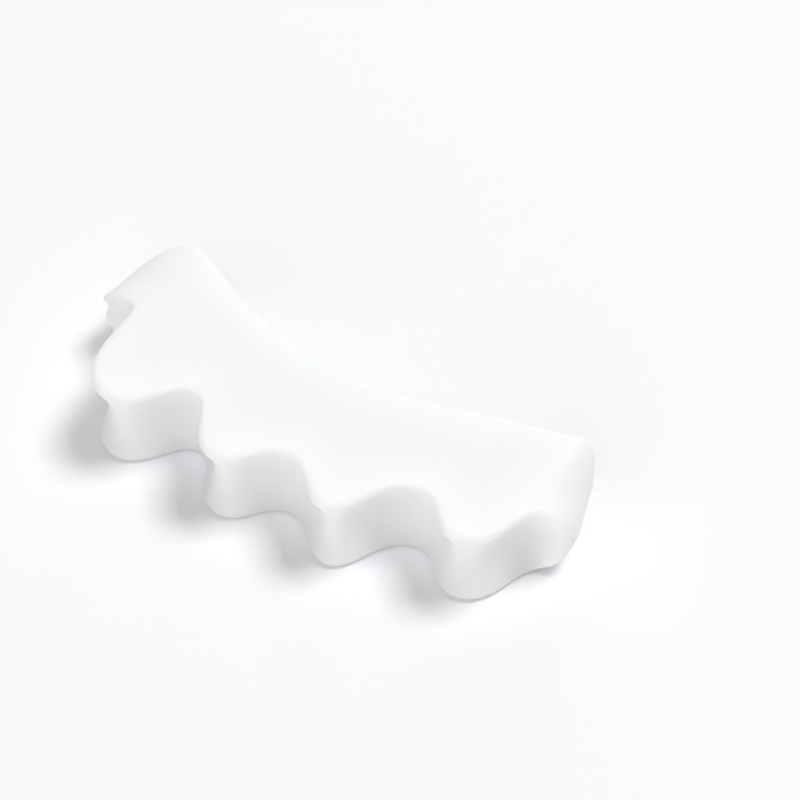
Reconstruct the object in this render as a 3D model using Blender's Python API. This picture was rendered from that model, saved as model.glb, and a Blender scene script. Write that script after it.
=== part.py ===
"""Toe separator: one soft piece of moulded silicone.

The piece is a thick comb that lies flat. Four prongs stand off a bent spine and go between the five toes, each toe
resting in one of the recesses beside them. The walls that face the toes are waisted, like an hourglass, their edges
are softly rounded, and both ends of the comb thin out to a rounded nose.

Units are metres, +Z is up, +X runs along the comb from the big toe to the little toe, and the prongs point to -Y.
The origin is the middle of the underside. Stations are measured along the back edge, from the middle of its bend,
and depths are measured from the back edge towards the prong tips.
"""

import math

import bmesh
import bpy
import numpy as np
from mathutils import Vector
from mathutils.geometry import delaunay_2d_cdt

# Whole body
THICKNESS = 0.0182
WALL_WAIST = 0.0024

# Spine: an arc with a straight arm on each side
BEND_RADIUS = 0.0584
BIG_TOE_ARM_ANGLE = 24.9
LITTLE_TOE_ARM_ANGLE = 15.7

# Prongs along the spine
SECOND_PRONG_OFFSET = 0.0047
FIRST_PITCH = 0.0164
SECOND_PITCH = 0.0156
THIRD_PITCH = 0.0218

# How far each prong reaches, and the radius of its tip
FIRST_PRONG_REACH = 0.0329
SECOND_PRONG_REACH = 0.0285
THIRD_PRONG_REACH = 0.0284
FOURTH_PRONG_REACH = 0.0281
FIRST_PRONG_RADIUS = 0.0096
SECOND_PRONG_RADIUS = 0.0065
THIRD_PRONG_RADIUS = 0.0047
FOURTH_PRONG_RADIUS = 0.0079

# How deep the spine is at the bottom of each recess, and the radius there
BIG_TOE_WEB = 0.0176
SECOND_TOE_WEB = 0.0202
MIDDLE_TOE_WEB = 0.0210
FOURTH_TOE_WEB = 0.0197
LITTLE_TOE_WEB = 0.0180
BIG_TOE_RECESS_RADIUS = 0.0011
SECOND_TOE_RECESS_RADIUS = 0.0035
MIDDLE_TOE_RECESS_RADIUS = 0.0054
FOURTH_TOE_RECESS_RADIUS = 0.0073
LITTLE_TOE_RECESS_RADIUS = 0.0050

# Big toe's end
BIG_TOE_HALF_GAP = 0.0129
BIG_TOE_TONGUE = 0.0085
BIG_TOE_TIP_DEPTH = 0.0195
BIG_TOE_FRONT_CORNER = 0.0012
BIG_TOE_BACK_CORNER = 0.0085
BIG_TOE_END_LEAN = 0.0031
BIG_TOE_FRONT_NOSE = 0.0150
BIG_TOE_BACK_NOSE = 0.0150

# Little toe's end
LITTLE_TOE_HALF_GAP = 0.0131
LITTLE_TOE_FRONT_CORNER = 0.0045
LITTLE_TOE_BACK_CORNER = 0.0018
LITTLE_TOE_END_LEAN = -0.0005
LITTLE_TOE_FRONT_NOSE = 0.0105
LITTLE_TOE_BACK_NOSE = 0.0022

# Rounding of the edges between the flat faces and the walls
PRONG_EDGE = 0.0013
RECESS_EDGE = 0.0008
BACK_EDGE = 0.0012

# Silicone
SILICONE_COLOUR = (0.88, 0.90, 0.92, 1.0)
SILICONE_ROUGHNESS = 0.45

# A rounding takes at most these shares of the wall or the end that it is on, and a handle this share of its run
EDGE_LIMIT = 0.8
CORNER_LIMIT = 0.45
HANDLE_LIMIT = 0.98

# Fineness of the mesh
FLANK_STEPS = 19
CORNER_STEPS = 7
END_STEPS = 8
BACK_STEPS = 28
EDGE_STEPS = 4
WAIST_STEPS = 4
NOSE_ROWS = 7
NOSE_COLUMN = 0.0020
NOSE_RIM_ANGLE = 33.0
RIM_CLEARANCE = 0.0005

# What is too small to matter: a waist that is straight, a nose with no height, and points that are one
STRAIGHT_WAIST = 1e-5
LEAST_SHARE = 0.1
SAME_POINT = 1e-7


def ease(t):
    """Smooth step from nought to one."""
    return t * t * (3.0 - 2.0 * t)


def spine(station):
    """Point on the back edge at a station, and the direction from there towards the prongs."""
    angle = station / BEND_RADIUS
    angle = min(max(angle, -math.radians(BIG_TOE_ARM_ANGLE)), math.radians(LITTLE_TOE_ARM_ANGLE))
    straight = station - angle * BEND_RADIUS
    along = np.array([math.cos(angle), math.sin(angle)])
    bend = np.array([math.sin(angle), 1.0 - math.cos(angle)]) * BEND_RADIUS
    return bend + along * straight, np.array([along[1], -along[0]])


class Knot:
    """A prong tip or a recess bottom: where the front edge runs along the spine for a moment."""

    def __init__(self, station, depth, radius, edge):
        self.station = station
        self.depth = depth
        self.radius = radius
        self.edge = edge
        foot, self.outward = spine(station)
        self.along = np.array([-self.outward[1], self.outward[0]])
        self.point = foot + self.outward * depth


def make_knots():
    """Tips and recess bottoms from the big toe's end to the little toe's."""
    second = -SECOND_PRONG_OFFSET
    first = second - FIRST_PITCH
    third = second + SECOND_PITCH
    fourth = third + THIRD_PITCH
    big_toe = first - BIG_TOE_HALF_GAP
    return [
        Knot(big_toe - BIG_TOE_TONGUE, BIG_TOE_TIP_DEPTH, BIG_TOE_RECESS_RADIUS, RECESS_EDGE),
        Knot(big_toe, BIG_TOE_WEB, BIG_TOE_RECESS_RADIUS, RECESS_EDGE),
        Knot(first, FIRST_PRONG_REACH, FIRST_PRONG_RADIUS, PRONG_EDGE),
        Knot((first + second) / 2, SECOND_TOE_WEB, SECOND_TOE_RECESS_RADIUS, RECESS_EDGE),
        Knot(second, SECOND_PRONG_REACH, SECOND_PRONG_RADIUS, PRONG_EDGE),
        Knot((second + third) / 2, MIDDLE_TOE_WEB, MIDDLE_TOE_RECESS_RADIUS, RECESS_EDGE),
        Knot(third, THIRD_PRONG_REACH, THIRD_PRONG_RADIUS, PRONG_EDGE),
        Knot((third + fourth) / 2, FOURTH_TOE_WEB, FOURTH_TOE_RECESS_RADIUS, RECESS_EDGE),
        Knot(fourth, FOURTH_PRONG_REACH, FOURTH_PRONG_RADIUS, PRONG_EDGE),
        Knot(fourth + LITTLE_TOE_HALF_GAP, LITTLE_TOE_WEB, LITTLE_TOE_RECESS_RADIUS, RECESS_EDGE),
    ]


def flank(start, end):
    """Points of the S-curve between a tip and a recess bottom, and how far along it each is.

    Each handle is as long as gives the curve the knot's radius there, and no longer than the run to the next knot.
    """
    run = end.point - start.point
    depth = abs(start.depth - end.depth)
    reach = HANDLE_LIMIT * abs(float(run @ (start.along + end.along))) / 2
    lead = min(math.sqrt(2 * start.radius * depth / 3), reach)
    trail = min(math.sqrt(2 * end.radius * depth / 3), reach)
    first = start.point + start.along * lead
    second = end.point - end.along * trail
    t = np.linspace(0.0, 1.0, FLANK_STEPS, endpoint=False)[:, None]
    s = 1.0 - t
    points = s**3 * start.point + 3 * s * s * t * first + 3 * s * t * t * second + t**3 * end.point
    return points, ease(t[:, 0])


class End:
    """One end of the comb: two corner rounds joined by a straight line, and the nose that thins it.

    The lean is how much further along the comb the back corner reaches than the front corner. The two noses are how
    far in from the line the comb thins at its front and at its back corner.
    """

    def __init__(self, side, front, front_radius, back_radius, lean, front_nose, back_nose):
        self.side = side
        self.front_nose = front_nose
        self.back_nose = back_nose
        self.front = front
        self.front_radius = min(front_radius, CORNER_LIMIT * front.depth)
        self.back_radius = min(back_radius, CORNER_LIMIT * front.depth)
        self.back_station = front.station + side * (self.front_radius + lean - self.back_radius)
        foot, inward = spine(self.back_station)
        self.back_normal = -inward
        self.front_centre = front.point - front.outward * self.front_radius
        self.back_centre = foot + inward * self.back_radius
        self.outward = self.line_normal()
        self.origin = self.front_centre + self.outward * self.front_radius
        self.across = np.array([-self.outward[1], self.outward[0]]) * self.side
        self.length = (self.back_centre - self.front_centre) @ self.across

    def line_normal(self):
        """Outward normal of the straight line that touches both corner rounds."""
        run = self.back_centre - self.front_centre
        distance = np.linalg.norm(run)
        run = run / distance
        across = np.array([run[1], -run[0]]) * self.side
        sine = (self.front_radius - self.back_radius) / distance
        return across * math.sqrt(1.0 - sine * sine) + run * sine

    def points(self):
        """Points round the end from its front corner to its back corner, and the share of the nose at each."""
        front = corner(self.front_centre, self.front_radius, self.front.outward, self.outward)
        back = corner(self.back_centre, self.back_radius, self.outward, self.back_normal)
        t = np.linspace(0.0, 1.0, END_STEPS + 1)[1:-1, None]
        line = front[-1] + (back[0] - front[-1]) * t
        rise = ease(np.linspace(0.0, 1.0, CORNER_STEPS + 1))
        return np.concatenate([front, line, back]), np.concatenate([rise, np.ones(len(line)), rise[::-1]])

    def nose(self, points):
        """How far in from the line the comb thins beside points."""
        share = np.clip((points - self.origin) @ self.across / self.length, 0.0, 1.0)
        return self.front_nose + (self.back_nose - self.front_nose) * share

    def height(self, points):
        """Share of the half thickness that the nose leaves at points: a quarter ellipse in from the line."""
        inset = (self.origin - points) @ self.outward
        rest = np.clip(1.0 - inset / self.nose(points), 0.0, 1.0)
        return np.sqrt(1.0 - rest * rest)

    def grid(self, outline):
        """Rows of points along the end's line where the nose bends, as wide as the outline."""
        shifts = (outline - self.origin) @ self.across
        columns = self.origin + np.outer(np.arange(shifts.min(), shifts.max(), NOSE_COLUMN), self.across)
        angles = np.linspace(math.radians(NOSE_RIM_ANGLE), math.pi / 2, NOSE_ROWS + 1)[1:]
        noses = self.nose(columns)
        return [
            point - self.outward * nose * (1.0 - math.cos(angle))
            for angle in angles
            for point, nose in zip(columns, noses)
        ]


def corner(centre, radius, start_normal, end_normal):
    """Points of a corner round between two normals, both included."""
    start = math.atan2(start_normal[1], start_normal[0])
    cross = start_normal[0] * end_normal[1] - start_normal[1] * end_normal[0]
    turn = math.atan2(cross, float(start_normal @ end_normal))
    angles = start + turn * np.linspace(0.0, 1.0, CORNER_STEPS + 1)
    return centre + radius * np.stack([np.cos(angles), np.sin(angles)], axis=1)


class Outline:
    """The comb seen from above, counter-clockwise, with what its wall is like at each point.

    edges holds the radius of the edge, waists the share of the waist, and noses the share of each end's nose.
    """

    def __init__(self):
        knots = make_knots()
        self.ends = (
            End(
                -1,
                knots[0],
                BIG_TOE_FRONT_CORNER,
                BIG_TOE_BACK_CORNER,
                BIG_TOE_END_LEAN,
                BIG_TOE_FRONT_NOSE,
                BIG_TOE_BACK_NOSE,
            ),
            End(
                1,
                knots[-1],
                LITTLE_TOE_FRONT_CORNER,
                LITTLE_TOE_BACK_CORNER,
                LITTLE_TOE_END_LEAN,
                LITTLE_TOE_FRONT_NOSE,
                LITTLE_TOE_BACK_NOSE,
            ),
        )
        self.points = np.zeros((0, 2))
        self.edges = np.zeros(0)
        self.waists = np.zeros(0)
        self.noses = np.zeros((0, 2))
        for start, end in zip(knots[:-1], knots[1:]):
            curve, blend = flank(start, end)
            self.add(curve, start.edge + (end.edge - start.edge) * blend, 1.0)
        big_toe, little_toe = self.ends
        self.add_end(little_toe, (0.0, 1.0))
        stations = np.linspace(little_toe.back_station, big_toe.back_station, BACK_STEPS + 1)[1:-1]
        self.add(np.array([spine(station)[0] for station in stations]), BACK_EDGE, 0.0)
        self.add_end(big_toe, (1.0, 0.0))
        self.middle = (self.points.min(axis=0) + self.points.max(axis=0)) / 2

    def add(self, points, edge, waist, nose=0.0, owner=(0.0, 0.0)):
        """Adds a run of points to the outline. The owner says whose nose it is."""
        ones = np.ones(len(points))
        self.points = np.concatenate([self.points, points])
        self.edges = np.concatenate([self.edges, ones * edge])
        self.waists = np.concatenate([self.waists, ones * waist])
        self.noses = np.concatenate([self.noses, np.outer(ones * nose, owner)])

    def add_end(self, end, owner):
        """Adds an end: its wall turns from a toe wall into a nose, and from the nose into the plain back wall."""
        points, nose = end.points()
        fade = np.linspace(0.0, 1.0, len(points))
        edges = RECESS_EDGE + (BACK_EDGE - RECESS_EDGE) * fade
        order = slice(None) if end.side > 0 else slice(None, 0, -1)
        self.add(points[order], edges[order], 1.0 - fade[order], nose[order], owner)

    def normals(self):
        """Outward normals at the points."""
        along = np.roll(self.points, -1, axis=0) - np.roll(self.points, 1, axis=0)
        along = along / np.linalg.norm(along, axis=1)[:, None]
        return np.stack([along[:, 1], -along[:, 0]], axis=1)

    def share_of_height(self, points):
        """Share of the half thickness at points, thinned by both noses."""
        return self.ends[0].height(points) * self.ends[1].height(points)


def wall_section(half, edge, waist):
    """Upper half of a toe wall's section, from the flat face down to the middle plane.

    The edge is an arc that goes on past the widest point, and the waist is an arc tangent to it that is upright in the
    middle plane. Gives offsets from the outline and heights above the middle plane.
    """
    edge = min(edge, EDGE_LIMIT * half)
    waist = max(waist, STRAIGHT_WAIST)
    centre = half - edge
    lean = 2 * math.atan2(waist, centre)
    waist_radius = waist / (1.0 - math.cos(lean)) - edge
    round_angles = np.linspace(math.pi / 2, -lean, EDGE_STEPS + 1)
    waist_angles = np.linspace(lean, 0.0, WAIST_STEPS + 1)[1:]
    offsets = np.append(edge * (np.cos(round_angles) - 1.0), waist_radius * (1.0 - np.cos(waist_angles)) - waist)
    heights = np.append(centre + edge * np.sin(round_angles), waist_radius * np.sin(waist_angles))
    return offsets, heights


def nose_section(half, nose):
    """Upper half of a nose's section: the last part of its quarter ellipse."""
    angles = np.linspace(math.radians(NOSE_RIM_ANGLE), 0.0, EDGE_STEPS + WAIST_STEPS + 1)
    return nose * (np.cos(angles) - 1.0), half * np.sin(angles)


def make_rings(outline):
    """Upper wall rings from the rim of the flat face down to the middle plane, each a list of points."""
    half = THICKNESS / 2
    normals = outline.normals()
    shares = outline.share_of_height(outline.points - normals * outline.edges[:, None])
    rings = np.zeros((EDGE_STEPS + WAIST_STEPS + 1, len(outline.points), 3))
    for index, point in enumerate(outline.points):
        waist = WALL_WAIST * outline.waists[index] * shares[index]
        offsets, heights = wall_section(half * max(shares[index], LEAST_SHARE), outline.edges[index], waist)
        for end, blend in zip(outline.ends, outline.noses[index]):
            nose_offsets, nose_heights = nose_section(half, end.nose(point))
            rim = outline.share_of_height(point + normals[index] * nose_offsets[0])
            nose_heights = nose_heights * (half * rim / nose_heights[0])
            offsets = offsets + (nose_offsets - offsets) * blend
            heights = heights + (nose_heights - heights) * blend
        rings[:, index, :2] = point + normals[index] * offsets[:, None]
        rings[:, index, 2] = heights
    return rings


def inside(point, rim):
    """Whether a point lies within the rim and clear of it."""
    following = np.roll(rim, -1, axis=0)
    run = following - rim
    crosses = (rim[:, 1] > point[1]) != (following[:, 1] > point[1])
    slope = run[crosses, 0] / run[crosses, 1]
    meets = rim[crosses, 0] + (point[1] - rim[crosses, 1]) * slope
    if np.count_nonzero(point[0] < meets) % 2 == 0:
        return False
    along = np.clip(np.sum((point - rim) * run, axis=1) / np.sum(run * run, axis=1), 0.0, 1.0)
    return np.linalg.norm(rim + run * along[:, None] - point, axis=1).min() > RIM_CLEARANCE


def add_walls(mesh, levels):
    """Quads between each pair of rings, top to bottom."""
    for above, below in zip(levels[:-1], levels[1:]):
        for index in range(len(above)):
            following = (index + 1) % len(above)
            mesh.faces.new((above[index], below[index], below[following], above[following]))


def add_faces(mesh, outline, rim, top, bottom, shift):
    """The upper and the lower face: the same triangles over the rim, with the noses' rows lifted to their height."""
    rows = [point for end in outline.ends for point in end.grid(outline.points) if inside(point, rim)]
    flat = [Vector(point) for point in np.concatenate([rim, rows])]
    corners, _, triangles, *_ = delaunay_2d_cdt(flat, [], [list(range(len(rim)))], 1, SAME_POINT)
    inner = np.array([tuple(point) for point in corners[len(rim):]])
    heights = THICKNESS / 2 * outline.share_of_height(inner)
    for sign, ring in ((1, top), (-1, bottom)):
        added = [Vector((x, y, sign * height)) + shift for (x, y), height in zip(inner, heights)]
        verts = list(ring) + [mesh.verts.new(place) for place in added]
        for triangle in triangles:
            mesh.faces.new([verts[index] for index in triangle[::sign]])


def build_mesh(name):
    """The whole solid, with the origin in the middle of its underside."""
    outline = Outline()
    rings = make_rings(outline)
    shift = Vector((-outline.middle[0], -outline.middle[1], THICKNESS / 2))
    mesh = bmesh.new()
    upper = [[mesh.verts.new(Vector(point) + shift) for point in ring] for ring in rings]
    mirrored = rings[:-1] * np.array([1.0, 1.0, -1.0])
    lower = [[mesh.verts.new(Vector(point) + shift) for point in ring] for ring in mirrored]
    add_walls(mesh, upper + lower[::-1])
    add_faces(mesh, outline, rings[0][:, :2], upper[0], lower[0], shift)
    bmesh.ops.triangulate(mesh, faces=[face for face in mesh.faces if len(face.verts) > 3])
    data = bpy.data.meshes.new(name)
    mesh.to_mesh(data)
    mesh.free()
    return data


def silicone():
    """Milky silicone."""
    material = bpy.data.materials.new("milky_silicone")
    material.use_nodes = True
    shader = material.node_tree.nodes["Principled BSDF"]
    shader.inputs["Base Color"].default_value = SILICONE_COLOUR
    shader.inputs["Roughness"].default_value = SILICONE_ROUGHNESS
    shader.inputs["Metallic"].default_value = 0.0
    return material


def main():
    """Builds the toe separator in an empty scene."""
    for item in list(bpy.data.objects):
        bpy.data.objects.remove(item, do_unlink=True)
    data = build_mesh("toe_separator")
    data.shade_smooth()
    data.set_sharp_from_angle(angle=math.radians(40))
    body = bpy.data.objects.new("toe_separator", data)
    body.data.materials.append(silicone())
    bpy.context.collection.objects.link(body)


main()
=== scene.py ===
"""Looks of a toe separator: one soft comb of milky silicone, lying on a white table top.

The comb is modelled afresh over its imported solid, as fine as the render and the exported mesh
need it. A circle is pulled onto the comb's outline and extruded into a block, its wall is
subdivided into rows, each row is moved onto the waisted section, and both flat faces are inset
and cut into the rows where the ends thin out.

Units are metres, +Z is up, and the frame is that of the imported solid: +X runs along the comb
from the big toe to the little toe, the prongs point to -Y, and the origin is the middle of the
underside. Stations are measured along the comb's back edge from the middle of its bend, and
depths from the back edge towards the prong tips.
"""

import logging
import math
from dataclasses import dataclass
from enum import Enum
from typing import Callable

import bpy
import numpy as np
from mathutils import Matrix, Vector
from mathutils.geometry import interpolate_bezier


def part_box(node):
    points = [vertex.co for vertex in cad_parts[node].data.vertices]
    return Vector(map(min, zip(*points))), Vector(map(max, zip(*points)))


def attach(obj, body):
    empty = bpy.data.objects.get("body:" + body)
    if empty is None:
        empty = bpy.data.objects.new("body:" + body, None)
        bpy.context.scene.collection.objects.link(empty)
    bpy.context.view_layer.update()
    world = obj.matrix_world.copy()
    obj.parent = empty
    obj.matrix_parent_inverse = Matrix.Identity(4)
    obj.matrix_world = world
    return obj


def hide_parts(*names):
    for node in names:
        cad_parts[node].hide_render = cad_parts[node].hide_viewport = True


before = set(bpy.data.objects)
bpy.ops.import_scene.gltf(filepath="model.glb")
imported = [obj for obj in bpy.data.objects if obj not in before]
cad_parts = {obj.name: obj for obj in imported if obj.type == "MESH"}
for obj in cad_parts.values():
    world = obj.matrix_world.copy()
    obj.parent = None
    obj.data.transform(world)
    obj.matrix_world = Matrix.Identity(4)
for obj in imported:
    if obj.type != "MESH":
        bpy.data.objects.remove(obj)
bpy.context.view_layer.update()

NODE = "toe_separator"
BODY = "root"
LEAST_ARC_STEPS = 8

log = logging.getLogger("separator")


class Side(Enum):
    """The two ends of the comb, by the way they point along +X."""

    BIG_TOE = -1
    LITTLE_TOE = 1


class Part(Enum):
    """What can be picked in edit mode."""

    VERTS = (True, False, False)
    EDGES = (False, True, False)
    FACES = (False, False, True)


def ease(share: np.ndarray) -> np.ndarray:
    """Smooth step from nought to one."""
    return share * share * (3.0 - 2.0 * share)


class Bench:
    """The edit-mode steps that every piece goes through, on one mesh object."""

    def __init__(self, piece: bpy.types.Object) -> None:
        """Takes the piece that is worked on."""
        self.piece = piece

    @staticmethod
    def clear() -> None:
        """Deselects everything, so that the next operator meets only its own piece."""
        bpy.ops.object.select_all(action="DESELECT")

    def pick(self, part: Part, chosen: np.ndarray) -> None:
        """Opens edit mode with only the chosen elements selected.

        Args:
            part: whether vertices, edges or faces are picked.
            chosen: one true or false for each of them.
        """
        self.clear()
        self.piece.select_set(True)
        bpy.context.view_layer.objects.active = self.piece
        mesh = self.piece.data
        for elements in (mesh.vertices, mesh.edges, mesh.polygons):
            elements.foreach_set("select", np.zeros(len(elements), bool))
        group = {Part.VERTS: mesh.vertices, Part.EDGES: mesh.edges, Part.FACES: mesh.polygons}[part]
        group.foreach_set("select", np.asarray(chosen, bool))
        bpy.ops.object.mode_set(mode="EDIT")
        bpy.context.tool_settings.mesh_select_mode = part.value

    def run(self, part: Part, chosen: np.ndarray, step: Callable[[], object]) -> None:
        """Runs one edit-mode step on the chosen elements.

        Args:
            part: whether vertices, edges or faces are picked.
            chosen: one true or false for each of them.
            step: the operator call.
        """
        self.pick(part, chosen)
        step()
        bpy.ops.object.mode_set(mode="OBJECT")

    def places(self) -> np.ndarray:
        """Reads where the vertices are.

        Returns:
            Coordinates of all vertices, one row each.
        """
        places = np.zeros(len(self.piece.data.vertices) * 3)
        self.piece.data.vertices.foreach_get("co", places)
        return places.reshape(-1, 3)

    def move(self, places: np.ndarray) -> None:
        """Puts every vertex at its new place."""
        self.piece.data.vertices.foreach_set("co", np.asarray(places, float).ravel())
        self.piece.data.update()

    def corners(self) -> np.ndarray:
        """Reads which vertices the edges join.

        Returns:
            The two vertices of each edge, one row each.
        """
        corners = np.zeros(len(self.piece.data.edges) * 2, int)
        self.piece.data.edges.foreach_get("vertices", corners)
        return corners.reshape(-1, 2)


@dataclass(frozen=True)
class Spine:
    """The back edge of the comb: an arc with a straight arm on each side."""

    bend_radius: float = 0.0584
    big_toe_arm: float = math.radians(24.9)
    little_toe_arm: float = math.radians(15.7)

    def at(self, station: float) -> tuple[np.ndarray, np.ndarray]:
        """Where a station lies.

        Args:
            station: the distance along the back edge from the middle of its bend.

        Returns:
            The point on the back edge, and the direction from it towards the prongs.
        """
        angle = min(max(station / self.bend_radius, -self.big_toe_arm), self.little_toe_arm)
        rest = station - angle * self.bend_radius
        along = np.array([math.cos(angle), math.sin(angle)])
        bend = np.array([math.sin(angle), 1.0 - math.cos(angle)]) * self.bend_radius
        return bend + along * rest, np.array([along[1], -along[0]])


@dataclass(frozen=True)
class Turn:
    """A prong tip or a recess bottom, where the front edge runs along the spine for a moment.

    Its sizes are its station, its depth from the back edge, its own roundness and its edge's radius.
    """

    station: float
    depth: float
    radius: float
    edge: float


@dataclass(frozen=True)
class EndShape:
    """The sizes of one end.

    They are its two corner rounds, how far its back corner stands beyond its front one, and how
    far in from its tip it thins at both corners.
    """

    side: Side
    front_corner: float
    back_corner: float
    lean: float
    front_nose: float
    back_nose: float


@dataclass
class Rim:
    """Points of the outline, counter-clockwise from above, and what the wall is like at each.

    That is the radius of its edges, the share of the full waist, and the share of each end's nose.
    """

    points: np.ndarray
    edges: np.ndarray
    waists: np.ndarray
    noses: np.ndarray

    def normals(self) -> np.ndarray:
        """Works out which way the wall faces.

        Returns:
            Outward directions at the points.
        """
        along = np.roll(self.points, -1, axis=0) - np.roll(self.points, 1, axis=0)
        along = along / np.linalg.norm(along, axis=1)[:, None]
        return np.stack([along[:, 1], -along[:, 0]], axis=1)


class CombEnd:
    """One end of the comb: two corner rounds joined by a straight line, with a rounded nose.

    Over least_fade at each corner, or over a longer corner round, the wall turns into the nose.
    """

    least_fade = 0.0045

    def __init__(self, spine: Spine, front: Turn, shape: EndShape) -> None:
        """Places the end beyond the last recess.

        Args:
            spine: the back edge.
            front: the turn where the front edge meets the end.
            shape: the end's sizes.
        """
        self.shape = shape
        foot, self.front_normal = spine.at(front.station)
        self.front_centre = foot + self.front_normal * (front.depth - shape.front_corner)
        reach = shape.front_corner + shape.lean - shape.back_corner
        self.back_station = front.station + shape.side.value * reach
        foot, inward = spine.at(self.back_station)
        self.back_normal = -inward
        self.back_centre = foot + inward * shape.back_corner
        self.outward = self.line_normal()
        self.origin = self.front_centre + self.outward * shape.front_corner
        self.across = np.array([-self.outward[1], self.outward[0]]) * shape.side.value
        self.length = float((self.back_centre - self.front_centre) @ self.across)

    def line_normal(self) -> np.ndarray:
        """Finds the straight line that touches both corner rounds.

        Returns:
            Its outward normal.
        """
        run = self.back_centre - self.front_centre
        distance = np.linalg.norm(run)
        run = run / distance
        across = np.array([run[1], -run[0]]) * self.shape.side.value
        sine = (self.shape.front_corner - self.shape.back_corner) / distance
        return across * math.sqrt(1.0 - sine * sine) + run * sine

    def inset(self, points: np.ndarray) -> np.ndarray:
        """How far points lie inside the straight line."""
        return (self.origin - points) @ self.outward

    def nose(self, points: np.ndarray) -> np.ndarray:
        """How far in from the line the comb thins beside points."""
        share = np.clip((points - self.origin) @ self.across / self.length, 0.0, 1.0)
        return self.shape.front_nose + (self.shape.back_nose - self.shape.front_nose) * share

    def height(self, points: np.ndarray) -> np.ndarray:
        """Share of the half thickness left at points, along a quarter ellipse in from the line."""
        rest = np.clip(1.0 - self.inset(points) / self.nose(points), 0.0, 1.0)
        return np.sqrt(1.0 - rest * rest)

    def row(self, angle: float) -> tuple[np.ndarray, np.ndarray]:
        """Where a straight row at one angle of the nose crosses the flat faces.

        Args:
            angle: the angle on the quarter ellipse, from nought at its tip.

        Returns:
            A point on the row and the direction across it.
        """
        depths = np.array([self.shape.front_nose, self.shape.back_nose]) * (1.0 - math.cos(angle))
        start = self.origin - self.outward * depths[0]
        run = self.across * self.length - self.outward * (depths[1] - depths[0])
        return start, np.array([run[1], -run[0]]) / np.linalg.norm(run)

    def trace(self, spacing: float) -> tuple[np.ndarray, np.ndarray]:
        """Walks round the end.

        Args:
            spacing: the distance between points.

        Returns:
            Points from the front corner to the back corner, and how far the wall is a nose at each.
        """
        front = arc(self.front_centre, self.shape.front_corner, self.front_normal, self.outward, spacing)
        back = arc(self.back_centre, self.shape.back_corner, self.outward, self.back_normal, spacing)
        count = max(int(np.linalg.norm(back[0] - front[-1]) / spacing), 2)
        line = np.linspace(front[-1], back[0], count + 1)[1:-1]
        points = np.concatenate([front, line, back])
        walked = np.append(0.0, np.cumsum(np.linalg.norm(np.diff(points, axis=0), axis=1)))
        left = walked[-1] - walked
        rise = ease(np.minimum(walked / max(walked[len(front) - 1], self.least_fade), 1.0))
        fall = ease(np.minimum(left / max(left[-len(back)], self.least_fade), 1.0))
        return points, rise * fall


def arc(
    centre: np.ndarray, radius: float, start: np.ndarray, end: np.ndarray, spacing: float
) -> np.ndarray:
    """Points of a corner round.

    Args:
        centre: the round's centre.
        radius: its radius.
        start: the normal where it starts.
        end: the normal where it ends.
        spacing: the distance between points, which a small round makes shorter.

    Returns:
        The points, both ends included.
    """
    first = math.atan2(start[1], start[0])
    turn = math.atan2(start[0] * end[1] - start[1] * end[0], float(start @ end))
    count = max(int(abs(turn) * radius / spacing), LEAST_ARC_STEPS)
    angles = first + turn * np.linspace(0.0, 1.0, count + 1)
    return centre + radius * np.stack([np.cos(angles), np.sin(angles)], axis=1)


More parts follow.
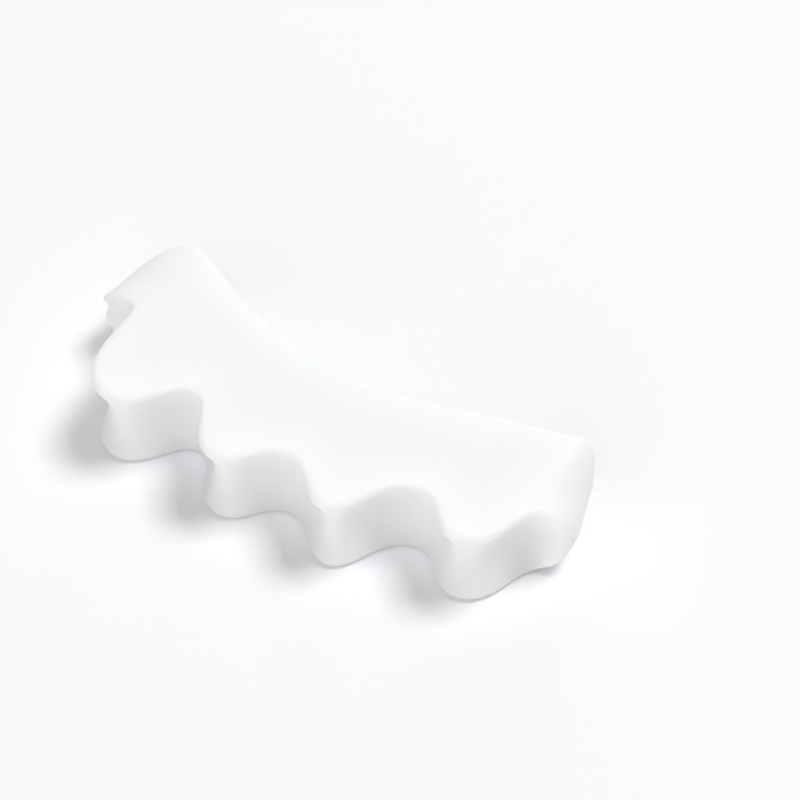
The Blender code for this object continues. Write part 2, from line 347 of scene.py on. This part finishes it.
@dataclass
class Comb:
    """The toe separator itself.

    The first fields are the sizes of the moulded piece. Those from handle_limit on say how closely
    the mesh follows it.
    """

    thickness: float
    spine: Spine = Spine()
    second_prong: float = -0.0047
    pitches: tuple[float, float, float] = (0.0164, 0.0156, 0.0218)
    big_toe_gap: float = 0.0129
    big_toe_tongue: float = 0.0085
    little_toe_gap: float = 0.0131
    waist: float = 0.0024
    prong_edge: float = 0.0013
    recess_edge: float = 0.0008
    back_edge: float = 0.0012
    handle_limit: float = 0.98
    curve_points: int = 400
    least_steps: int = 4
    spacing: float = 0.00045
    rows: int = 28
    nose_rows: int = 16
    nose_rim: float = math.radians(33.0)
    cross_spacing: float = 0.0010
    support: float = 0.00008
    least_share: float = 0.1
    least_waist: float = 0.00001
    widest_edge: float = 0.8
    flat_share: float = 0.99999
    merge_distance: float = 0.000001
    smooth_angle: float = math.radians(50.0)

    def turns(self) -> list[Turn]:
        """Lays out the front edge.

        Returns:
            Prong tips and recess bottoms from the big toe's end to the little toe's.
        """
        second = self.second_prong
        first = second - self.pitches[0]
        third = second + self.pitches[1]
        fourth = third + self.pitches[2]
        big_toe = first - self.big_toe_gap
        recess, prong = self.recess_edge, self.prong_edge
        return [
            Turn(big_toe - self.big_toe_tongue, 0.0195, 0.0011, recess),
            Turn(big_toe, 0.0176, 0.0011, recess),
            Turn(first, 0.0329, 0.0096, prong),
            Turn((first + second) / 2, 0.0202, 0.0035, recess),
            Turn(second, 0.0285, 0.0065, prong),
            Turn((second + third) / 2, 0.0210, 0.0054, recess),
            Turn(third, 0.0284, 0.0047, prong),
            Turn((third + fourth) / 2, 0.0197, 0.0073, recess),
            Turn(fourth, 0.0281, 0.0079, prong),
            Turn(fourth + self.little_toe_gap, 0.0180, 0.0050, recess),
        ]

    def ends(self) -> tuple[CombEnd, CombEnd]:
        """Places both ends.

        Returns:
            The big toe's end and the little toe's end.
        """
        turns = self.turns()
        big_toe = EndShape(
            Side.BIG_TOE,
            front_corner=0.0012,
            back_corner=0.0085,
            lean=0.0031,
            front_nose=0.0150,
            back_nose=0.0150,
        )
        little_toe = EndShape(
            Side.LITTLE_TOE,
            front_corner=0.0045,
            back_corner=0.0018,
            lean=-0.0005,
            front_nose=0.0105,
            back_nose=0.0035,
        )
        return CombEnd(self.spine, turns[0], big_toe), CombEnd(self.spine, turns[-1], little_toe)

    def flank(self, start: Turn, end: Turn) -> tuple[np.ndarray, np.ndarray]:
        """The S-curve between a tip and a recess bottom.

        Args:
            start: the turn that the curve leaves.
            end: the turn that it comes to.

        Returns:
            Evenly spaced points without the last one, and the edge radius at each.
        """
        places = []
        headings = []
        for turn in (start, end):
            foot, outward = self.spine.at(turn.station)
            places.append(foot + outward * turn.depth)
            headings.append(np.array([-outward[1], outward[0]]))
        depth = abs(start.depth - end.depth)
        run = (places[1] - places[0]) @ (headings[0] + headings[1]) / 2
        limit = self.handle_limit * float(run)
        lead, trail = (min(math.sqrt(2 * turn.radius * depth / 3), limit) for turn in (start, end))
        near, far = places[0] + headings[0] * lead, places[1] - headings[1] * trail
        controls = (Vector((*control, 0.0)) for control in (places[0], near, far, places[1]))
        curve = interpolate_bezier(*controls, self.curve_points)
        fine = np.array([tuple(point)[:2] for point in curve])
        lengths = np.concatenate([[0.0], np.cumsum(np.linalg.norm(np.diff(fine, axis=0), axis=1))])
        steps = max(int(lengths[-1] / self.spacing), self.least_steps)
        marks = np.linspace(0.0, lengths[-1], steps + 1)[:-1]
        points = np.stack([np.interp(marks, lengths, fine[:, axis]) for axis in (0, 1)], axis=1)
        return points, start.edge + (end.edge - start.edge) * ease(marks / lengths[-1])

    def rim(self) -> Rim:
        """Joins the front edge, both ends and the back edge.

        Returns:
            The whole outline, in the spine's own frame.
        """
        turns = self.turns()
        big_toe, little_toe = self.ends()
        runs = []
        for start, end in zip(turns[:-1], turns[1:]):
            points, edges = self.flank(start, end)
            runs.append((points, edges, np.ones(len(points)), np.zeros((len(points), 2))))
        points, rise = little_toe.trace(self.spacing)
        runs.append(self.end_run(points, rise, Side.LITTLE_TOE))
        count = int((little_toe.back_station - big_toe.back_station) / self.spacing)
        stations = np.linspace(little_toe.back_station, big_toe.back_station, count + 1)[1:-1]
        back = np.array([self.spine.at(station)[0] for station in stations])
        edges, upright = np.full(len(back), self.back_edge), np.zeros(len(back))
        runs.append((back, edges, upright, np.zeros((len(back), 2))))
        points, rise = big_toe.trace(self.spacing)
        runs.append(tuple(run[:0:-1] for run in self.end_run(points, rise, Side.BIG_TOE)))
        return Rim(*(np.concatenate(columns) for columns in zip(*runs)))

    def end_run(self, points: np.ndarray, rise: np.ndarray, side: Side) -> tuple[np.ndarray, ...]:
        """What the wall is like round an end, from the front corner to the back corner.

        Args:
            points: the points round the end.
            rise: how far the wall is a nose at each.
            side: which end it is.

        Returns:
            The points, their edge radii, waists and noses.
        """
        fade = np.linspace(0.0, 1.0, len(points))
        noses = np.zeros((len(points), 2))
        noses[:, 0 if side is Side.BIG_TOE else 1] = rise
        return points, self.recess_edge + (self.back_edge - self.recess_edge) * fade, 1.0 - fade, noses

    def share(self, points: np.ndarray) -> np.ndarray:
        """Share of the half thickness at points, thinned by both noses."""
        big_toe, little_toe = self.ends()
        return big_toe.height(points) * little_toe.height(points)

    def section(self, half: float, edge: float, waist: float) -> tuple[np.ndarray, np.ndarray]:
        """Upper half of a toe wall's section, from the flat face down to the middle plane.

        Args:
            half: half the height of the wall.
            edge: the radius of its edge.
            waist: how far it is drawn in at its middle.

        Returns:
            Offsets from the outline and heights above the middle plane, one for each row.
        """
        steps = self.rows // 2
        waist = max(waist, self.least_waist)
        edge = min(edge, self.widest_edge * half)
        centre = half - edge
        lean = 2 * math.atan2(waist, centre)
        radius = waist / (1.0 - math.cos(lean)) - edge
        turns = np.linspace(math.pi / 2, -lean, steps // 2 + 1)
        sweeps = np.linspace(lean, 0.0, steps - steps // 2 + 1)[1:]
        offsets = np.append(edge * (np.cos(turns) - 1.0), radius * (1.0 - np.cos(sweeps)) - waist)
        heights = np.append(centre + edge * np.sin(turns), radius * np.sin(sweeps))
        return offsets, heights

    def rings(self, rim: Rim) -> np.ndarray:
        """Works out the wall.

        Args:
            rim: the outline.

        Returns:
            Places of the wall's rows, lowest first, each row with a place for every outline point.
        """
        half = self.thickness / 2
        ends = self.ends()
        normals = rim.normals()
        shares = self.share(rim.points - normals * rim.edges[:, None])
        sweep = np.linspace(self.nose_rim, 0.0, self.rows // 2 + 1)
        rings = np.zeros((self.rows + 1, len(rim.points), 3))
        for index, point in enumerate(rim.points):
            waist = self.waist * rim.waists[index] * shares[index]
            left = half * max(shares[index], self.least_share)
            offsets, heights = self.section(left, rim.edges[index], waist)
            for end, blend in zip(ends, rim.noses[index]):
                nose = end.nose(point) * (np.cos(sweep) - 1.0)
                left = half * self.share(point + normals[index] * nose[0])
                offsets = offsets + (nose - offsets) * blend
                heights = heights + (left * np.sin(sweep) / math.sin(self.nose_rim) - heights) * blend
            column = np.concatenate([offsets, offsets[-2::-1]])
            rings[::-1, index, :2] = point + normals[index] * column[:, None]
            rings[::-1, index, 2] = half + np.concatenate([heights, -heights[-2::-1]])
        return rings

    def block(self, rim: Rim) -> Bench:
        """A prism with the comb's outline, its wall subdivided into rows.

        Args:
            rim: the outline.

        Returns:
            The bench with the block on it.
        """
        Bench.clear()
        count = len(rim.points)
        bpy.ops.mesh.primitive_circle_add(vertices=count, radius=self.thickness, fill_type="NGON")
        piece = bpy.context.active_object
        piece.name = "silicone_comb"
        piece.data.name = "silicone_comb"
        bench = Bench(piece)
        places = np.zeros((count, 3))
        places[:, :2] = rim.points
        bench.move(places)
        rise = {"value": (0.0, 0.0, self.thickness)}
        extrude = bpy.ops.mesh.extrude_region_move
        bench.run(Part.FACES, [True], lambda: extrude(TRANSFORM_OT_translate=rise))
        places = bench.places()
        corners = bench.corners()
        upright = np.abs(places[corners[:, 0], 2] - places[corners[:, 1], 2]) > self.thickness / 2
        bench.run(Part.EDGES, upright, lambda: bpy.ops.mesh.subdivide(number_cuts=self.rows - 1))
        return bench

    def sculpt(self, bench: Bench, rim: Rim) -> None:
        """Moves the block's rows onto the waisted wall and the noses, and keeps both faces flat.

        Args:
            bench: the bench with the block on it.
            rim: the outline that the block was made from.
        """
        places = bench.places()
        rings = self.rings(rim)
        rings[0, :, 2] = 0.0
        rings[-1, :, 2] = self.thickness
        rows = np.rint(places[:, 2] / self.thickness * self.rows).astype(int)
        gaps = np.linalg.norm(places[:, None, :2] - rim.points[None], axis=2)
        bench.move(rings[rows, gaps.argmin(axis=1)])

    def face_rows(self, bench: Bench) -> None:
        """Gives both flat faces a narrow border and the rows over which the ends thin out.

        Args:
            bench: the bench with the sculpted block on it.
        """
        mesh = bench.piece.data
        broad = np.array([len(face.vertices) > 4 for face in mesh.polygons])
        bench.run(Part.FACES, broad, lambda: bpy.ops.mesh.inset(thickness=self.support, depth=0.0))
        mark = mesh.attributes.new("cap", "BOOLEAN", "FACE")
        mark.data.foreach_set("value", [len(face.vertices) > 4 for face in mesh.polygons])
        for end in self.ends():
            for angle in np.linspace(self.nose_rim, math.pi / 2, self.nose_rows + 1)[1:]:
                self.cut(bench, self.caps(mesh), *end.row(angle))
            for distance in np.arange(self.cross_spacing, end.length, self.cross_spacing):
                foot = end.origin + end.across * distance
                self.cut(bench, self.thinned(mesh, end), foot, end.across)

    @staticmethod
    def cut(bench: Bench, faces: np.ndarray, foot: np.ndarray, outward: np.ndarray) -> None:
        """Cuts one straight row into some faces.

        Args:
            bench: the bench with the comb on it.
            faces: which faces are cut.
            foot: a point on the row.
            outward: the direction across the row.
        """
        plane = {"plane_co": (*foot, 0.0), "plane_no": (*outward, 0.0)}
        bench.run(Part.FACES, faces, lambda: bpy.ops.mesh.bisect(**plane))

    def thinned(self, mesh: bpy.types.Mesh, end: CombEnd) -> np.ndarray:
        """Which of the flat faces lie where one end thins out."""
        centres = np.array([tuple(face.center)[:2] for face in mesh.polygons])
        return self.caps(mesh) & (end.inset(centres) < end.nose(centres))

    @staticmethod
    def caps(mesh: bpy.types.Mesh) -> np.ndarray:
        """Finds the flat faces.

        Args:
            mesh: the comb's mesh.

        Returns:
            Which faces belong to the two flat faces inside their borders.
        """
        caps = np.zeros(len(mesh.polygons), bool)
        mesh.attributes["cap"].data.foreach_get("value", caps)
        return caps

    def lift(self, bench: Bench) -> None:
        """Brings the flat faces to their height, which falls towards both ends.

        Args:
            bench: the bench with the comb on it.
        """
        places = bench.places()
        half = self.thickness / 2
        rise = places[:, 2] - half
        flat = np.abs(rise) > half * self.flat_share
        places[flat, 2] = half + np.sign(rise[flat]) * half * self.share(places[flat, :2])
        bench.move(places)

    def build(self) -> bpy.types.Object:
        """Models the comb, and moves its middle to the origin.

        Returns:
            The finished mesh object, with its place in its mesh.
        """
        rim = self.rim()
        bench = self.block(rim)
        self.sculpt(bench, rim)
        self.face_rows(bench)
        mesh = bench.piece.data
        caps = self.caps(mesh)
        triangulate = bpy.ops.mesh.quads_convert_to_tris
        bench.run(Part.FACES, caps, lambda: triangulate(ngon_method="BEAUTY"))
        mesh.attributes.remove(mesh.attributes["cap"])
        self.lift(bench)
        everything = np.ones(len(mesh.vertices), bool)
        merge = bpy.ops.mesh.remove_doubles
        bench.run(Part.VERTS, everything, lambda: merge(threshold=self.merge_distance))
        everything = np.ones(len(mesh.polygons), bool)
        turn_outwards = bpy.ops.mesh.normals_make_consistent
        bench.run(Part.FACES, everything, lambda: turn_outwards(inside=False))
        middle = (rim.points.min(axis=0) + rim.points.max(axis=0)) / 2
        mesh.transform(Matrix.Translation((-middle[0], -middle[1], 0.0)))
        bpy.ops.object.shade_smooth_by_angle(angle=self.smooth_angle)
        return bench.piece


class Mottle:
    """The cloudy unevenness that moulded silicone and a matt table top share, as one node group."""

    name = "mottle"
    outputs = (("Cloud size", "Cloud", 3.0), ("Grain size", "Grain", 2.0))

    @classmethod
    def group(cls) -> bpy.types.NodeTree:
        """Makes the node group, or finds the one already made.

        Returns:
            The group, which takes a place and two sizes and puts out broad clouds and a fine grain.
        """
        found = bpy.data.node_groups.get(cls.name)
        if found:
            return found
        tree = bpy.data.node_groups.new(cls.name, "ShaderNodeTree")
        tree.interface.new_socket("Place", in_out="INPUT", socket_type="NodeSocketVector")
        tree.interface.new_socket("Cloud size", in_out="INPUT", socket_type="NodeSocketFloat")
        tree.interface.new_socket("Grain size", in_out="INPUT", socket_type="NodeSocketFloat")
        tree.interface.new_socket("Cloud", in_out="OUTPUT", socket_type="NodeSocketFloat")
        tree.interface.new_socket("Grain", in_out="OUTPUT", socket_type="NodeSocketFloat")
        nodes, links = tree.nodes, tree.links
        entry = nodes.new("NodeGroupInput")
        leave = nodes.new("NodeGroupOutput")
        for size, result, detail in cls.outputs:
            scale = nodes.new("ShaderNodeMath")
            scale.operation = "DIVIDE"
            scale.inputs[0].default_value = 1.0
            noise = nodes.new("ShaderNodeTexNoise")
            noise.inputs["Detail"].default_value = detail
            links.new(entry.outputs[size], scale.inputs[1])
            links.new(entry.outputs["Place"], noise.inputs["Vector"])
            links.new(scale.outputs["Value"], noise.inputs["Scale"])
            links.new(noise.outputs["Fac"], leave.inputs[result])
        return tree


@dataclass(frozen=True)
class Finish:
    """A finish with a mottled colour, a mottled roughness and a fine grain."""

    name: str
    light: tuple[float, float, float]
    dark: tuple[float, float, float]
    smooth: float
    rough: float
    cloud_size: float
    grain_size: float
    grain_depth: float

    def material(self) -> bpy.types.Material:
        """Makes the material.

        Returns:
            The material, whose Principled BSDF is named "shader".
        """
        material = bpy.data.materials.new(self.name)
        material.use_nodes = True
        nodes, links = material.node_tree.nodes, material.node_tree.links
        shader = nodes["Principled BSDF"]
        shader.name = "shader"
        place = nodes.new("ShaderNodeTexCoord")
        mottle = nodes.new("ShaderNodeGroup")
        mottle.node_tree = Mottle.group()
        mottle.inputs["Cloud size"].default_value = self.cloud_size
        mottle.inputs["Grain size"].default_value = self.grain_size
        links.new(place.outputs["Object"], mottle.inputs["Place"])
        colour = nodes.new("ShaderNodeMix")
        colour.data_type = "RGBA"
        colour.inputs["A"].default_value = (*self.dark, 1.0)
        colour.inputs["B"].default_value = (*self.light, 1.0)
        rough = nodes.new("ShaderNodeMapRange")
        rough.inputs["To Min"].default_value = self.smooth
        rough.inputs["To Max"].default_value = self.rough
        bump = nodes.new("ShaderNodeBump")
        bump.inputs["Strength"].default_value = 1.0
        bump.inputs["Distance"].default_value = self.grain_depth
        links.new(mottle.outputs["Cloud"], colour.inputs["Factor"])
        links.new(mottle.outputs["Cloud"], rough.inputs["Value"])
        links.new(mottle.outputs["Grain"], bump.inputs["Height"])
        links.new(colour.outputs["Result"], shader.inputs["Base Color"])
        links.new(rough.outputs["Result"], shader.inputs["Roughness"])
        links.new(bump.outputs["Normal"], shader.inputs["Normal"])
        return material


@dataclass(frozen=True)
class MilkySilicone(Finish):
    """Soft silicone gel: light goes in and scatters before it leaves, red further than blue."""

    name: str = "milky_silicone"
    light: tuple[float, float, float] = (0.914, 0.928, 0.990)
    dark: tuple[float, float, float] = (0.894, 0.909, 0.975)
    smooth: float = 0.55
    rough: float = 0.65
    cloud_size: float = 0.012
    grain_size: float = 0.0006
    grain_depth: float = 0.00001
    scatter: float = 0.0046
    scatter_tint: tuple[float, float, float] = (1.0, 0.95, 0.92)
    refraction: float = 1.41

    def material(self) -> bpy.types.Material:
        """Makes the material, with the scattering added.

        Returns:
            The material.
        """
        material = super().material()
        shader = material.node_tree.nodes["shader"]
        shader.subsurface_method = "RANDOM_WALK"
        shader.inputs["Subsurface Weight"].default_value = 1.0
        shader.inputs["Subsurface Radius"].default_value = self.scatter_tint
        shader.inputs["Subsurface Scale"].default_value = self.scatter
        shader.inputs["IOR"].default_value = self.refraction
        return material


@dataclass(frozen=True)
class TableTop(Finish):
    """A matt white table top, which fades into the white room at some distance from its middle."""

    name: str = "table_top"
    light: tuple[float, float, float] = (0.955, 0.955, 0.955)
    dark: tuple[float, float, float] = (0.945, 0.945, 0.945)
    smooth: float = 0.85
    rough: float = 0.95
    cloud_size: float = 0.150
    grain_size: float = 0.0010
    grain_depth: float = 0.000005
    fade_start: float = 0.20
    fade_end: float = 0.45

    def material(self) -> bpy.types.Material:
        """Makes the material, with the fade added.

        Returns:
            The material.
        """
        material = super().material()
        nodes, links = material.node_tree.nodes, material.node_tree.links
        place = nodes.new("ShaderNodeTexCoord")
        distance = nodes.new("ShaderNodeVectorMath")
        distance.operation = "LENGTH"
        fade = nodes.new("ShaderNodeMapRange")
        fade.interpolation_type = "SMOOTHSTEP"
        fade.inputs["From Min"].default_value = self.fade_start
        fade.inputs["From Max"].default_value = self.fade_end
        fade.inputs["To Min"].default_value = 1.0
        fade.inputs["To Max"].default_value = 0.0
        links.new(place.outputs["Object"], distance.inputs[0])
        links.new(distance.outputs["Value"], fade.inputs["Value"])
        links.new(fade.outputs["Result"], nodes["shader"].inputs["Alpha"])
        return material


@dataclass(frozen=True)
class Viewpoint:
    """The camera: where it looks, from which side and how long its lens is."""

    target: tuple[float, float, float] = (0.01256, 0.00801, 0.0182)
    look: tuple[float, float, float] = (-0.3482, 0.5403, -0.7660)
    distance: float = 0.424
    lens: float = 108.0
    sensor: float = 36.0
    nearest: float = 0.01
    furthest: float = 20.0

    def build(self) -> None:
        """Makes the camera, which the scene then uses."""
        data = bpy.data.cameras.new("camera")
        data.lens = self.lens
        data.sensor_width = self.sensor
        data.clip_start = self.nearest
        data.clip_end = self.furthest
        camera = bpy.data.objects.new("camera", data)
        look = Vector(self.look).normalized()
        camera.location = Vector(self.target) - look * self.distance
        camera.rotation_euler = look.to_track_quat("-Z", "Y").to_euler()
        bpy.context.scene.collection.objects.link(camera)
        bpy.context.scene.camera = camera


@dataclass(frozen=True)
class Lamp:
    """A soft square lamp that looks at the comb, with its direction in degrees from +X and the table."""

    name: str
    azimuth: float
    elevation: float
    width: float
    power: float
    colour: tuple[float, float, float]
    distance: float

    def build(self) -> None:
        """Makes the lamp, which the camera itself doesn't see."""
        data = bpy.data.lights.new(self.name, "AREA")
        data.shape = "SQUARE"
        data.size = self.width
        data.energy = self.power
        data.color = self.colour
        lamp = bpy.data.objects.new(self.name, data)
        lamp.visible_camera = False
        azimuth, elevation = math.radians(self.azimuth), math.radians(self.elevation)
        level = math.cos(elevation)
        towards = Vector((math.cos(azimuth) * level, math.sin(azimuth) * level, math.sin(elevation)))
        lamp.location = towards * self.distance
        lamp.rotation_euler = (-towards).to_track_quat("-Z", "Y").to_euler()
        bpy.context.scene.collection.objects.link(lamp)


@dataclass(frozen=True)
class Studio:
    """The white table top, the even light of the room, and the lamps round the comb."""

    table_width: float = 1.0
    room_light: float = 0.235
    room_colour: tuple[float, float, float] = (1.0, 0.99, 0.97)
    background: tuple[float, float, float] = (0.96, 0.96, 0.96)
    lamps: tuple[Lamp, ...] = (
        Lamp("window", 50.0, 65.0, 0.7, 23.5, (0.96, 0.98, 1.0), 2.0),
        Lamp("front screen", -86.0, 30.0, 1.2, 4.9, (1.0, 0.98, 0.95), 1.0),
        Lamp("back screen", 123.0, 30.0, 0.9, 2.2, (1.0, 0.99, 0.97), 1.0),
    )

    def table(self) -> None:
        """Makes the table top, one wide plane under the comb."""
        Bench.clear()
        bpy.ops.mesh.primitive_plane_add(size=self.table_width, location=(0.0, 0.0, 0.0))
        table = bpy.context.active_object
        table.name = "table_top"
        table.data.materials.append(TableTop().material())

    def room(self) -> None:
        """Lights the comb evenly from all round, while the camera and reflections see plain white."""
        world = bpy.data.worlds.new("room")
        world.use_nodes = True
        bpy.context.scene.world = world
        nodes, links = world.node_tree.nodes, world.node_tree.links
        nodes.clear()
        light = nodes.new("ShaderNodeBackground")
        light.inputs["Color"].default_value = (*self.room_colour, 1.0)
        light.inputs["Strength"].default_value = self.room_light
        seen = nodes.new("ShaderNodeBackground")
        seen.inputs["Color"].default_value = (*self.background, 1.0)
        seen.inputs["Strength"].default_value = 1.0
        path = nodes.new("ShaderNodeLightPath")
        straight = nodes.new("ShaderNodeMath")
        straight.operation = "MAXIMUM"
        any_ray = nodes.new("ShaderNodeMath")
        any_ray.operation = "MAXIMUM"
        mix = nodes.new("ShaderNodeMixShader")
        leave = nodes.new("ShaderNodeOutputWorld")
        links.new(path.outputs["Is Camera Ray"], straight.inputs[0])
        links.new(path.outputs["Is Glossy Ray"], straight.inputs[1])
        links.new(straight.outputs["Value"], any_ray.inputs[0])
        links.new(path.outputs["Is Transmission Ray"], any_ray.inputs[1])
        links.new(any_ray.outputs["Value"], mix.inputs["Fac"])
        links.new(light.outputs["Background"], mix.inputs[1])
        links.new(seen.outputs["Background"], mix.inputs[2])
        links.new(mix.outputs["Shader"], leave.inputs["Surface"])

    def build(self) -> None:
        """Sets up the table top, the room and the lamps."""
        self.table()
        self.room()
        for lamp in self.lamps:
            lamp.build()
        bpy.context.scene.view_settings.view_transform = "Standard"


def main() -> None:
    """Builds the camera, the studio and the comb, in that order."""
    logging.basicConfig(level=logging.INFO, format="%(message)s")
    Viewpoint().build()
    Studio().build()
    low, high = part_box(NODE)
    piece = Comb(thickness=high.z - low.z).build()
    piece.data.materials.append(MilkySilicone().material())
    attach(piece, BODY)
    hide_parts(NODE)
    log.info("%s: %d faces", piece.name, len(piece.data.polygons))


if __name__ == "__main__":
    main()
